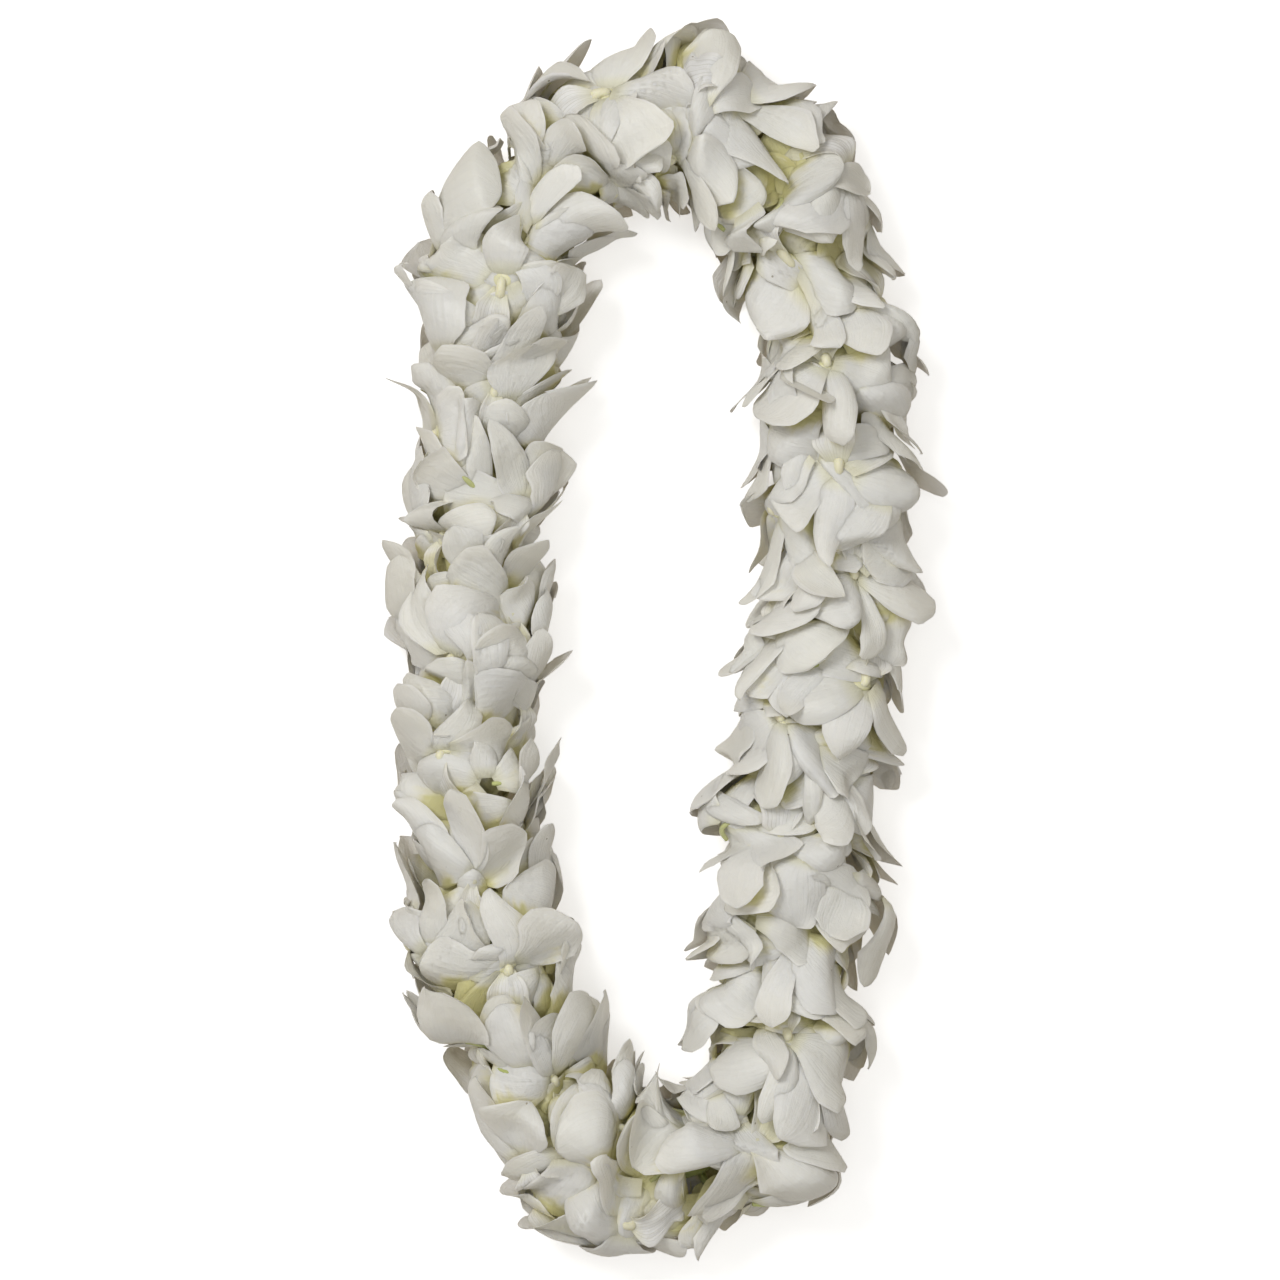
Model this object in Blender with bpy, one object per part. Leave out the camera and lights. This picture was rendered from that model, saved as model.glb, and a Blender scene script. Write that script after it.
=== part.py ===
"""Double orchid lei: white dendrobium blooms in pairs, back to back, on one closed loop of string.

The lei lies flat on a surface at z = 0, its long axis along Y. Every bloom is placed in the lei's own
coordinates: s along the string, r out from it and an angle round it, 0 straight up and 90 degrees on the
outside of the loop. The blooms lie like shingles: their forward edges are raised, and each covers the back
of the next one, so neighbours stay clear of each other.
"""

import math
import random

import bmesh
import bpy
import numpy as np
from mathutils import Vector

MM = 0.001
SEED = 37
SEED_STEP = 1000
MERGE_DISTANCE = 0.01 * MM

# Moves the lei's own middle to the origin.
TO_MIDDLE_MM = (-2.9, -2.35)

# The string's route, in millimetres, clockwise seen from above.
ROUTE_MM = [(-78.5, -59), (-76, 21), (-73.5, 100.5), (-60, 174), (-35.5, 208), (-2, 222.5), (33, 210),
            (60, 172), (75, 105), (73.5, 25), (63.5, -55), (59, -120), (51, -170), (36, -203),
            (14, -220), (-15, -219), (-40, -200), (-57, -165), (-71, -118)]
ROUTE_STEPS = 1800
ROUTE_SMOOTHING = 38
ROUTE_PASSES = 3
BEND_REACH = 10 * MM
TUBE_HEIGHT = 28.0 * MM
SQUASH_BELOW = 20.0 * MM
LOWEST_FREE = -5.0 * MM

# Tips that reach further out than the rest of the lei, in plan.
REACHES_MM = [(-31, 254), (14, 265), (37, 264), (70, 238), (86, 210), (98, 188), (104, 158), (111, 138),
              (113, 112), (117, 69), (115, 19), (107, -7), (100, -60), (99, -111), (94, -172), (84, -200),
              (79, -233), (42, -248), (11, -265), (-20, -256), (-45, -248), (-68, -231), (-77, -200),
              (-97, -160), (-116, -124), (-113, 12), (-111, 161), (-98, 190), (-72, 224), (-31, 109),
              (-41, 61), (-45, -53), (-38, -114), (-24, -152), (-8, -178), (12, -147), (15, -130),
              (18, -113), (23, -90), (11, -65), (26, -21), (33, 17), (38, 60), (38, 100), (34, 135)]
EVEN_RADIUS = 32.0 * MM
SWELL_RUN = 15.0 * MM
SWELL_TURN = math.radians(42)
SWELL_SIDE = math.radians(80)

# The drift that all blooms share, so that none lies as evenly as its neighbour: waves along and round the lei.
DRIFT_SEED = 56
DRIFT_WAVES = 16
DRIFT_ALONG = (7, 22)
DRIFT_ROUND = 3
DRIFT_OUT = 3.7 * MM
DRIFT_FORWARD = 2.8 * MM
DRIFT_TURN = math.radians(6.5)
DRIFT_FROM = (6 * MM, 18 * MM)
DRIFT_UPWARD = (-0.3, 0.7)
DRIFT_BELOW = 0.3

# The string and the place of its knot.
STRING_RADIUS = 1.0 * MM
KNOT_RADIUS = 2.4 * MM
KNOT_SPACE = 5.6 * MM
KNOT_SEGMENTS = 8
KNOT_RINGS = 5

# The pairs of blooms along the string.
PAIRS = 46
AZIMUTH_START = math.radians(20)
HALF_TURNS_OF_DRIFT = 2
AZIMUTH_JITTER = math.radians(8)
TWIST_JITTER = math.radians(12)
SIZE_JITTER = 0.06
LIFT_JITTER = (-1.0 * MM, 1.6 * MM)
WAVE_JITTER = 1.2 * MM
LEAN_JITTER = 0.04

# The pierced base that the two blooms of a pair share.
BASE_SIDES = 6
BASE_HOLE = 1.52 * MM
BASE_RADIUS = 4.0 * MM
BASE_GAP = 0.35 * MM
NECK_FOOT = 2.7 * MM

# One bloom. The throat is where the tepals meet, and the slope raises the forward edge.
THROAT_RADIUS = 22.0 * MM
SHINGLE_SLOPE = 0.40
NOTCH_RADIUS = 4.6 * MM
COLUMN_HEIGHT = 4.5 * MM
RIB_THICKNESS = 1.3 * MM
WRAP_AHEAD = math.radians(80)
WRAP_BEHIND = math.radians(60)
WRAP_CHANGE = (-15 * MM, -3 * MM)
WRAP_SHARPNESS = 4
LEAST_STRETCH = 0.7

# Tepals: where the notches beside it lie, in degrees from forward, then its length, its half width at two
# rows, and how far the two rows and the tip stand off the shingle surface, in millimetres.
TEPALS = {
    "dorsal_sepal": (-24, 24, 33, 8.6, 7.6, (0.0, 0.6, 2.0)),
    "petal_left": (24, 108, 34, 15.0, 16.6, (0.8, 2.4, 4.4)),
    "lateral_sepal_left": (108, 150, 32, 7.8, 7.0, (0.0, 1.2, 3.0)),
    "lip": (150, 210, 23, 7.8, 8.6, (1.2, 2.6, 4.2)),
    "lateral_sepal_right": (210, 252, 32, 7.8, 7.0, (0.0, 1.2, 3.0)),
    "petal_right": (252, 336, 34, 15.0, 16.6, (0.8, 2.4, 4.4)),
}
ROW_AT = (0.0, 0.40, 0.75, 1.0)
TIP_ROW = 3


def smooth_route():
    """Points at even steps round the closed string, as an array, and the string's length."""
    corners = (np.array(ROUTE_MM) + TO_MIDDLE_MM) * MM
    count = len(corners)
    place = np.arange(ROUTE_STEPS) / ROUTE_STEPS * count
    index = np.floor(place).astype(int)
    t = (place - index)[:, None]
    before, start, end, after = (corners[(index + k) % count] for k in (-1, 0, 1, 2))
    points = 0.5 * (2 * start + (end - before) * t
                    + (2 * before - 5 * start + 4 * end - after) * t ** 2
                    + (3 * start - before - 3 * end + after) * t ** 3)
    window = range(-ROUTE_SMOOTHING, ROUTE_SMOOTHING + 1)
    for _ in range(ROUTE_PASSES):
        points = sum(np.roll(points, shift, axis=0) for shift in window) / len(window)
    steps = np.linalg.norm(np.roll(points, -1, axis=0) - points, axis=1)
    travelled = np.concatenate([[0.0], np.cumsum(steps)])
    length = travelled[-1]
    even = np.arange(ROUTE_STEPS) / ROUTE_STEPS * length
    closed = np.vstack([points, points[:1]])
    return np.stack([np.interp(even, travelled, closed[:, k]) for k in (0, 1)], axis=1), length


ROUTE, LENGTH = smooth_route()
STEP = LENGTH / ROUTE_STEPS
TANGENT = np.roll(ROUTE, -1, axis=0) - np.roll(ROUTE, 1, axis=0)
TANGENT /= np.linalg.norm(TANGENT, axis=1)[:, None]


def route_value(table, s):
    """A table's value at s, between the two nearest steps of the route."""
    place = (s / STEP) % ROUTE_STEPS
    index = int(place)
    part = place - index
    return table[index % ROUTE_STEPS] * (1 - part) + table[(index + 1) % ROUTE_STEPS] * part


def bend_table():
    """How sharply the route turns clockwise, in radians a metre, averaged over a short run."""
    heading = np.unwrap(np.arctan2(TANGENT[:, 1], TANGENT[:, 0]))
    reach = int(BEND_REACH / STEP)
    ahead = np.roll(heading, -reach)
    behind = np.roll(heading, reach)
    turn = (behind - ahead + math.pi) % (2 * math.pi) - math.pi
    return turn / (2 * reach * STEP)


BEND = bend_table()


def swell(s, azimuth):
    """How far the blooms near a place stand out from the even tube."""
    most = 0.0
    for where, side, height in SWELLS:
        along = (s - where + LENGTH / 2) % LENGTH - LENGTH / 2
        round_it = (azimuth - side + math.pi) % math.tau - math.pi
        spread = (along / SWELL_RUN) ** 2 + (round_it / SWELL_TURN) ** 2
        most = max(most, height * math.exp(-spread))
    return most


def settle(z):
    """Press the underside of the lei gently onto the surface."""
    if z >= SQUASH_BELOW:
        return z
    drop = SQUASH_BELOW - z
    rate = -LOWEST_FREE / (SQUASH_BELOW - LOWEST_FREE) ** 2
    return z + rate * drop ** 2


def place(s, r, azimuth):
    """A point of the lei's own coordinates in world space."""
    centre = route_value(ROUTE, s)
    tangent = route_value(TANGENT, s)
    outward = np.array((-tangent[1], tangent[0])) / np.linalg.norm(tangent)
    x, y = centre + outward * r * math.sin(azimuth)
    return Vector((x, y, settle(TUBE_HEIGHT + r * math.cos(azimuth))))


def smooth_step(low, high, x):
    """0 below low, 1 above high and smooth between."""
    t = min(max((x - low) / (high - low), 0), 1)
    return t * t * (3 - 2 * t)


def drift_waves(seed):
    """Waves that fit a whole number of times along the lei and round it, and where each starts."""
    draw = random.Random(seed)
    return [(draw.randint(*DRIFT_ALONG), draw.randint(-DRIFT_ROUND, DRIFT_ROUND), draw.uniform(0, math.tau))
            for _ in range(DRIFT_WAVES)]


DRIFTS = [drift_waves(DRIFT_SEED + k) for k in range(3)]


def adrift(s, r, azimuth):
    """The point moved by the drift: none near the string, and little on the sides and underneath."""
    sums = [sum(math.cos(math.tau * along * s / LENGTH + round_it * azimuth + start)
                for along, round_it, start in waves) / math.sqrt(DRIFT_WAVES / 2) for waves in DRIFTS]
    reach = smooth_step(*DRIFT_FROM, r)
    upward = DRIFT_BELOW + (1 - DRIFT_BELOW) * smooth_step(*DRIFT_UPWARD, math.cos(azimuth))
    out, forward, turn = (value * reach for value in sums)
    return s + forward * DRIFT_FORWARD, r + out * DRIFT_OUT * upward, azimuth + turn * DRIFT_TURN * upward


def find_swells():
    """Each reach as a place along the string, a side of it and a height above the even tube."""
    found = []
    for x, y in REACHES_MM:
        away = (np.array((x, y)) + TO_MIDDLE_MM) * MM - ROUTE
        distance = np.linalg.norm(away, axis=1)
        index = int(np.argmin(distance))
        tangent = TANGENT[index]
        outside = -tangent[1] * away[index][0] + tangent[0] * away[index][1] > 0
        side = SWELL_SIDE if outside else -SWELL_SIDE
        found.append((index * STEP, side, distance[index] - EVEN_RADIUS))
    return found


SWELLS = find_swells()


class Bloom:
    """One bloom's place on the string, and its own small differences."""

    def __init__(self, s, azimuth, draw):
        self.s = s
        self.azimuth = azimuth
        self.twist = draw.uniform(-TWIST_JITTER, TWIST_JITTER)
        self.size = 1 + draw.uniform(-SIZE_JITTER, SIZE_JITTER)
        self.lean = draw.uniform(-LEAN_JITTER, LEAN_JITTER)
        self.lifts = {name: [draw.uniform(*LIFT_JITTER) for _ in range(3)] for name in TEPALS}
        self.waves = {name: draw.uniform(-WAVE_JITTER, WAVE_JITTER) for name in TEPALS}

    def point(self, forward, sideways, off):
        """World place of a point given along the string, round it and off the shingle surface."""
        side_angle = sideways / THROAT_RADIUS
        across = math.sin(self.azimuth + side_angle)
        stretch = max(LEAST_STRETCH, 1 + route_value(BEND, self.s) * THROAT_RADIUS * across)
        run = forward / stretch
        r = THROAT_RADIUS + SHINGLE_SLOPE * run + self.lean * sideways + off
        turn = sideways / r
        limit = float(np.interp(run, WRAP_CHANGE, (WRAP_BEHIND, WRAP_AHEAD)))
        turn /= (1 + (abs(turn) / limit) ** WRAP_SHARPNESS) ** (1 / WRAP_SHARPNESS)
        s = self.s + run
        azimuth = self.azimuth + turn
        return place(*adrift(s, r + swell(s, azimuth), azimuth))

    def tepal_point(self, name, row, across, side):
        """A grid point of a tepal: row 0 to 3 from root to tip, across -1 to 1, side 1 front, -1 back."""
        notch_before, notch_after, length, half_low, half_high, offs = TEPALS[name]
        heading = math.radians(notch_before + notch_after) / 2 + self.twist
        spread = math.radians(notch_after - notch_before) / 2
        if row == 0 and across == 0 and side > 0:
            return self.point(0, 0, COLUMN_HEIGHT)
        root = NOTCH_RADIUS * math.cos(spread)
        half = (NOTCH_RADIUS * math.sin(spread), half_low * MM * self.size, half_high * MM * self.size, 0)[row]
        out = root + ROW_AT[row] * length * MM * self.size
        off = 0.0
        if row > 0:
            off = offs[row - 1] * MM + self.lifts[name][row - 1] + across * self.waves[name] * (row < TIP_ROW)
        if across == 0 and row < TIP_ROW:
            off += side * RIB_THICKNESS / 2
        width = across * half
        forward = out * math.cos(heading) - width * math.sin(heading)
        sideways = out * math.sin(heading) + width * math.cos(heading)
        return self.point(forward, sideways, off)


def new_object(name, mesh_maker, material, collection):
    """An object whose mesh is filled by mesh_maker(bm)."""
    mesh = bpy.data.meshes.new(name)
    bm = bmesh.new()
    mesh_maker(bm)
    bmesh.ops.recalc_face_normals(bm, faces=bm.faces)
    if bm.calc_volume(signed=True) < 0:
        bmesh.ops.reverse_faces(bm, faces=bm.faces)
    bm.to_mesh(mesh)
    bm.free()
    mesh.materials.append(material)
    made = bpy.data.objects.new(name, mesh)
    collection.objects.link(made)
    return made


def bloom_shape(bloom, foot):
    """Fill a mesh with a bloom: a front and a back sheet for each tepal, which share their rims."""
    def fill(bm):
        for name in TEPALS:
            for side in (1, -1):
                grid = bmesh.ops.create_grid(bm, x_segments=2, y_segments=TIP_ROW, size=1)
                verts = grid["verts"]
                faces = list({face for vert in verts for face in vert.link_faces})
                bmesh.ops.triangulate(bm, faces=faces, quad_method="FIXED")
                for vert in verts:
                    row = round((vert.co.y + 1) / 2 * TIP_ROW)
                    vert.co = bloom.tepal_point(name, row, round(vert.co.x), side)
        bmesh.ops.remove_doubles(bm, verts=bm.verts, dist=MERGE_DISTANCE)
        open_edges = [edge for edge in bm.edges if edge.is_boundary]
        neck = bmesh.ops.contextual_create(bm, geom=open_edges)["faces"]
        tip = bmesh.ops.poke(bm, faces=neck)["verts"][0]
        tip.co = foot
    return fill


def base_shape(s, half):
    """Fill a mesh with the pierced base: a turned ring, with its ends square to the string."""
    def fill(bm):
        corners = [(-half, BASE_HOLE), (half, BASE_HOLE), (half, BASE_RADIUS), (-half, BASE_RADIUS)]
        profile = [bm.verts.new((along, 0, r)) for along, r in corners]
        edges = [bm.edges.new((profile[k], profile[(k + 1) % 4])) for k in range(4)]
        bmesh.ops.spin(bm, geom=profile + edges, axis=(1, 0, 0), cent=(0, 0, 0), steps=BASE_SIDES,
                       angle=math.tau, use_merge=True)
        bmesh.ops.remove_doubles(bm, verts=bm.verts, dist=MERGE_DISTANCE)
        for vert in bm.verts:
            along, y, z = vert.co
            vert.co = place(s + along, math.hypot(y, z), math.atan2(y, z))
    return fill


def cut_level(mesh):
    """Cut off what reaches below the surface, which leaves small flat spots to rest on."""
    bm = bmesh.new()
    bm.from_mesh(mesh)
    if min(vert.co.z for vert in bm.verts) < 0:
        bmesh.ops.bisect_plane(bm, geom=list(bm.verts) + list(bm.edges) + list(bm.faces), dist=1e-7,
                               plane_co=(0, 0, 0), plane_no=(0, 0, -1), clear_outer=True)
        open_edges = [edge for edge in bm.edges if edge.is_boundary]
        bmesh.ops.holes_fill(bm, edges=open_edges, sides=0)
        bm.to_mesh(mesh)
    bm.free()


def join_repeats(name, first, others, collection):
    """Union the objects of a cutter collection into the first one, then remove them."""
    repeats = bpy.data.collections.new(name + "_repeats")
    bpy.context.scene.collection.children.link(repeats)
    for other in others:
        collection.objects.unlink(other)
        repeats.objects.link(other)
    union = first.modifiers.new("Union", "BOOLEAN")
    union.operation = "UNION"
    union.operand_type = "COLLECTION"
    union.collection = repeats
    union.solver = "MANIFOLD"
    bpy.context.view_layer.update()
    evaluated = first.evaluated_get(bpy.context.evaluated_depsgraph_get())
    joined = bpy.data.meshes.new_from_object(evaluated)
    first.modifiers.remove(union)
    first.data = joined
    joined.name = name
    for other in others:
        bpy.data.objects.remove(other)
    bpy.data.collections.remove(repeats)


def bloom_pair(number, s, half, azimuth, draw, material, collection):
    """Two blooms back to back on one pierced base."""
    name = f"bloom_pair_{number:02d}"
    pair = new_object(name, base_shape(s, half), material, collection)
    middle = (place(s - half, 0, 0) + place(s + half, 0, 0)) / 2
    blooms = []
    for turn in (0, math.pi):
        bloom = Bloom(s, azimuth + turn, draw)
        foot = middle + (place(s, NECK_FOOT, azimuth + turn) - place(s, 0, 0))
        blooms.append(new_object(f"bloom_{turn:.0f}", bloom_shape(bloom, foot), material, collection))
    join_repeats(name, pair, blooms, collection)
    cut_level(pair.data)
    return pair


def string_loop(pitch, material, collection):
    """The closed string, straight through each base, with its knot in the space left between two bases."""
    stops = [k * pitch for k in range(PAIRS + 1)]
    curve = bpy.data.curves.new("string", "CURVE")
    curve.dimensions = "3D"
    curve.bevel_depth = STRING_RADIUS
    curve.bevel_resolution = 1
    spline = curve.splines.new("POLY")
    spline.points.add(len(stops) - 1)
    for point, s in zip(spline.points, stops):
        point.co = (*place(s, 0, 0), 1)
    spline.use_cyclic_u = True
    tube = bpy.data.objects.new("string_curve", curve)
    collection.objects.link(tube)
    bpy.context.view_layer.update()
    evaluated = tube.evaluated_get(bpy.context.evaluated_depsgraph_get())
    mesh = bpy.data.meshes.new_from_object(evaluated)
    mesh.name = "string"
    mesh.materials.clear()
    mesh.materials.append(material)
    string = bpy.data.objects.new("string", mesh)
    collection.objects.link(string)
    bpy.data.objects.remove(tube)

    def knot(bm):
        bmesh.ops.create_uvsphere(bm, u_segments=KNOT_SEGMENTS, v_segments=KNOT_RINGS,
                                  radius=KNOT_RADIUS)
        bmesh.ops.translate(bm, verts=bm.verts, vec=place(stops[-1] + KNOT_SPACE / 2, 0, 0))

    lump = new_object("knot", knot, material, collection)
    join_repeats("string", string, [lump], collection)


def new_material(name, color, roughness):
    material = bpy.data.materials.new(name)
    material.use_nodes = True
    shader = material.node_tree.nodes["Principled BSDF"]
    shader.inputs["Base Color"].default_value = color
    shader.inputs["Roughness"].default_value = roughness
    shader.inputs["Metallic"].default_value = 0
    return material


def build():
    for old in list(bpy.data.objects):
        bpy.data.objects.remove(old)
    lei = bpy.data.collections.new("double_orchid_lei")
    bpy.context.scene.collection.children.link(lei)
    petal_white = new_material("petal_white", (0.80, 0.79, 0.73, 1), 0.55)
    thread = new_material("thread", (0.78, 0.76, 0.68, 1), 0.8)
    pitch = (LENGTH - KNOT_SPACE) / PAIRS
    half = (pitch - BASE_GAP) / 2
    quarter = math.pi / 2 + math.pi * HALF_TURNS_OF_DRIFT / PAIRS
    for k in range(PAIRS):
        draw = random.Random(SEED * SEED_STEP + k)
        azimuth = AZIMUTH_START + k * quarter + draw.uniform(-AZIMUTH_JITTER, AZIMUTH_JITTER)
        bloom_pair(k + 1, (k + 0.5) * pitch, half, azimuth, draw, petal_white, lei)
    string_loop(pitch, thread, lei)


build()
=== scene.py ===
"""Looks of the double orchid lei: soft white dendrobium blooms round a closed string.

The finer blooms follow the same rule as the solids that they stand for: s along the string, r out from it,
an angle round it, and the same seeded draws, so each one lies where its solid does.
"""

import itertools
import math
import random

import bpy
import numpy as np
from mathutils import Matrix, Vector


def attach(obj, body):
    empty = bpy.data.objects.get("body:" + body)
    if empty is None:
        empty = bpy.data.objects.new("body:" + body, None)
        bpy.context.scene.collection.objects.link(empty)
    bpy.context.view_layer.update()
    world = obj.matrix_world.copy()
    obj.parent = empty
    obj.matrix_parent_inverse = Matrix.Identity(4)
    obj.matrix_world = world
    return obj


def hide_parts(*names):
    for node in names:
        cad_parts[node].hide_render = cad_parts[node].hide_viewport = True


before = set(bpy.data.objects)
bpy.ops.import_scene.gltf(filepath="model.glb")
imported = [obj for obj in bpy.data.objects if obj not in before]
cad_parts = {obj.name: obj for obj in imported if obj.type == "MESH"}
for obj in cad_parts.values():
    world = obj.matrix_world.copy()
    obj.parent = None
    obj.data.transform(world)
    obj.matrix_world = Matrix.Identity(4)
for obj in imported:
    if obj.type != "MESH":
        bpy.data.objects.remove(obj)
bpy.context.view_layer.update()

MM = 0.001

# Each pair has one seed for what its solid shows too, and one for the finer detail.
SEED = 37
SEED_STEP = 1000
DETAIL_STEP = 570

# The string's route and the tips that reach far out, in millimetres in plan, as the solids have them, and
# the shift that brings them to the middle.
TO_MIDDLE_MM = (-2.9, -2.35)
ROUTE_MM = [(-78.5, -59), (-76, 21), (-73.5, 100.5), (-60, 174), (-35.5, 208), (-2, 222.5), (33, 210),
            (60, 172), (75, 105), (73.5, 25), (63.5, -55), (59, -120), (51, -170), (36, -203),
            (14, -220), (-15, -219), (-40, -200), (-57, -165), (-71, -118)]
ROUTE_STEPS = 1800
ROUTE_SMOOTHING = 38
ROUTE_PASSES = 3
BEND_REACH = 10 * MM
TUBE_HEIGHT = 28.0 * MM
SQUASH_BELOW = 20.0 * MM
LOWEST_FREE = -5.0 * MM
REACHES_MM = [(-31, 254), (14, 265), (37, 264), (70, 238), (86, 210), (98, 188), (104, 158), (111, 138),
              (113, 112), (117, 69), (115, 19), (107, -7), (100, -60), (99, -111), (94, -172), (84, -200),
              (79, -233), (42, -248), (11, -265), (-20, -256), (-45, -248), (-68, -231), (-77, -200),
              (-97, -160), (-116, -124), (-113, 12), (-111, 161), (-98, 190), (-72, 224), (-31, 109),
              (-41, 61), (-45, -53), (-38, -114), (-24, -152), (-8, -178), (12, -147), (15, -130),
              (18, -113), (23, -90), (11, -65), (26, -21), (33, 17), (38, 60), (38, 100), (34, 135)]
EVEN_RADIUS = 32.0 * MM
SWELL_RUN = 15.0 * MM
SWELL_TURN = math.radians(42)
SWELL_SIDE = math.radians(80)

# The pairs of blooms along the string.
PAIRS = 46
KNOT_SPACE = 5.6 * MM
BASE_GAP = 0.35 * MM
AZIMUTH_START = math.radians(20)
HALF_TURNS_OF_DRIFT = 2
AZIMUTH_JITTER = math.radians(8)
TWIST_JITTER = math.radians(12)
SIZE_JITTER = 0.06
LIFT_JITTER = (-1.0 * MM, 1.6 * MM)
WAVE_JITTER = 1.2 * MM
LEAN_JITTER = 0.04

# One bloom, as its solid has it.
THROAT_RADIUS = 22.0 * MM
SHINGLE_SLOPE = 0.40
NOTCH_RADIUS = 4.6 * MM
ROOT_RADIUS = 1.8 * MM
WRAP_AHEAD = math.radians(80)
WRAP_BEHIND = math.radians(60)
WRAP_CHANGE = (-15 * MM, -3 * MM)
WRAP_SHARPNESS = 4
LEAST_STRETCH = 0.7
LEAST_RADIUS = 2 * MM

# Tepals: where the notches beside each lie, in degrees from forward, then its length and how far its rows
# after the first lie off the shingle, in millimetres.
TEPALS = {
    "dorsal_sepal": (-24, 24, 33, (0.0, 0.6, 2.0)),
    "petal_left": (24, 108, 34, (0.8, 2.4, 4.4)),
    "lateral_sepal_left": (108, 150, 32, (0.0, 1.2, 3.0)),
    "lip": (150, 210, 23, (1.2, 2.6, 4.2)),
    "lateral_sepal_right": (210, 252, 32, (0.0, 1.2, 3.0)),
    "petal_right": (252, 336, 34, (0.8, 2.4, 4.4)),
}
ROW_AT = (0.0, 0.40, 0.75, 1.0)
ROW_WAVES = (0, 1, 1, 0)

# Outlines: half width against place along the blade, where the steps along it draw closer at the tip. Each
# kind of tepal lies somewhere between its blunt and its pointed outline.
PETAL_BLUNT = [(0, 0.25), (0.08, 0.46), (0.17, 0.72), (0.26, 0.89), (0.4, 1.0), (0.54, 0.99),
               (0.68, 0.86), (0.8, 0.64), (0.9, 0.38), (1, 0.03)]
PETAL_POINTED = [(0, 0.25), (0.08, 0.44), (0.17, 0.68), (0.26, 0.87), (0.4, 1.0), (0.54, 0.92),
                 (0.68, 0.63), (0.8, 0.34), (0.9, 0.13), (1, 0.01)]
SEPAL_BLUNT = [(0, 0.42), (0.1, 0.66), (0.2, 0.87), (0.3, 0.98), (0.42, 1.0), (0.56, 0.88),
               (0.7, 0.64), (0.84, 0.36), (0.94, 0.15), (1, 0.03)]
SEPAL_POINTED = [(0, 0.42), (0.1, 0.62), (0.2, 0.82), (0.3, 0.96), (0.42, 1.0), (0.56, 0.84),
                 (0.7, 0.53), (0.84, 0.21), (0.94, 0.05), (1, 0.01)]
LIP_ROUND = [(0, 0.20), (0.1, 0.38), (0.2, 0.60), (0.3, 0.70), (0.4, 0.74), (0.5, 0.83),
             (0.62, 0.98), (0.74, 1.0), (0.86, 0.77), (0.95, 0.40), (1, 0.05)]
LIP_LONG = [(0, 0.18), (0.1, 0.30), (0.2, 0.48), (0.3, 0.58), (0.4, 0.62), (0.5, 0.71),
            (0.62, 0.86), (0.74, 0.88), (0.86, 0.60), (0.95, 0.26), (1, 0.02)]

# Each kind's grid of points, half width, outlines, and how far it may lie from the blunt to the pointed one.
KINDS = {
    "petal": (17, 14, 16.4 * MM, PETAL_BLUNT, PETAL_POINTED, (0.1, 1.0)),
    "sepal": (15, 8, 9.2 * MM, SEPAL_BLUNT, SEPAL_POINTED, (0.0, 0.8)),
    "lip": (19, 17, 11.2 * MM, LIP_ROUND, LIP_LONG, (0.0, 0.7)),
}

# The column from its foot to its tip: forward, off the surface and radius, in millimetres. The cap and the
# neck are tubes of ovals: forward, off the surface, and the radius along and across.
COLUMN_MM = [(0.7, -2.3, 1.3), (0.6, -1.2, 1.6), (0.2, -0.2, 1.8), (-0.6, 0.5, 1.9), (-1.7, 0.9, 2.0),
             (-2.8, 0.9, 2.2), (-3.6, 0.6, 2.1), (-4.1, 0.3, 1.5)]
CAP_MM = [(-4.6, 0.1, 0.4, 0.8), (-4.8, 0.5, 0.7, 1.3), (-4.8, 0.9, 0.9, 1.6), (-4.6, 1.4, 0.8, 1.4),
          (-4.4, 1.7, 0.4, 0.7)]
NECK_MM = [(0, -0.7, 1.4, 1.6), (0, -1.0, 2.4, 2.6), (0, -1.9, 3.1, 3.3), (0, -4.2, 3.0, 3.0),
           (0, -7.0, 2.3, 2.3), (0, -11.0, 1.8, 1.8), (0, -15.0, 1.9, 1.9), (0, -18.6, 2.3, 2.3)]
COLUMN_SIDES = 14
CAP_SIDES = 12
COLUMN_LEAN_MM = 0.5

# The pierced base round the string, as radii from end to end, in millimetres.
BASE_MM = [3.2, 3.6, 3.8, 3.9, 4.0, 3.9, 3.8, 3.6, 3.2]
BASE_SIDES = 12
BASE_GREEN = 0.8

# Tepals and stalks of crushed blooms that show between the others, at thirds of the way from pair to pair.
LOOSE_TEPALS = ("petal_left", "petal_right", "dorsal_sepal", "lateral_sepal_left", "lateral_sepal_right")
LOOSE_COUNT = 4
LOOSE_SIZE = (0.7, 0.95)
LOOSE_LAYERS = (1 / 3, 2 / 3)
LOOSE_TURN = math.radians(70)
STALK_SHARE = 0.2
STALK_START = 1 * MM
STALK_LENGTH = 13 * MM
STALK_BEND = 0.2
STALK_GREEN = (0.4, 0.7)
STALK_RADIUS = 1.2 * MM
STALK_ENDS = 0.75
STALK_DEPTH = 1.0 * MM
STALK_STEPS = 9
STALK_SIDES = 10

# How deep a place lies under the outermost petals, which sets the painted shade there: cream, then olive.
SHADE_DEPTH_SPAN = (1.2 * MM, 9.5 * MM)
COVER_CELLS = (360, 72)
COVER_PASSES = 4

# One blade: its thickness, and the ends of the even draws that make each one a little different.
THICKNESS = 0.55 * MM
TIP_THINNING = 0.45
MARGIN_THINNING = 0.5
FLOOR_CLEAR = 0.45 * MM
PIT = 0.9 * MM
PIT_ALONG = (0, 0.2)
HEADING_DEGREES = (-12, 12)
LENGTH_SHARE = (0.95, 1.08)
WIDTH_SHARE = (0.92, 1.07)
SIDEWAYS_BEND = (-0.10, 0.10)
DROOP = (0.0, 5.0 * MM)
DROOP_SIDES = (0.0, 0.8)
MARGIN_BUNCH = 1.3
RIM_FROM = 0.8

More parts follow.
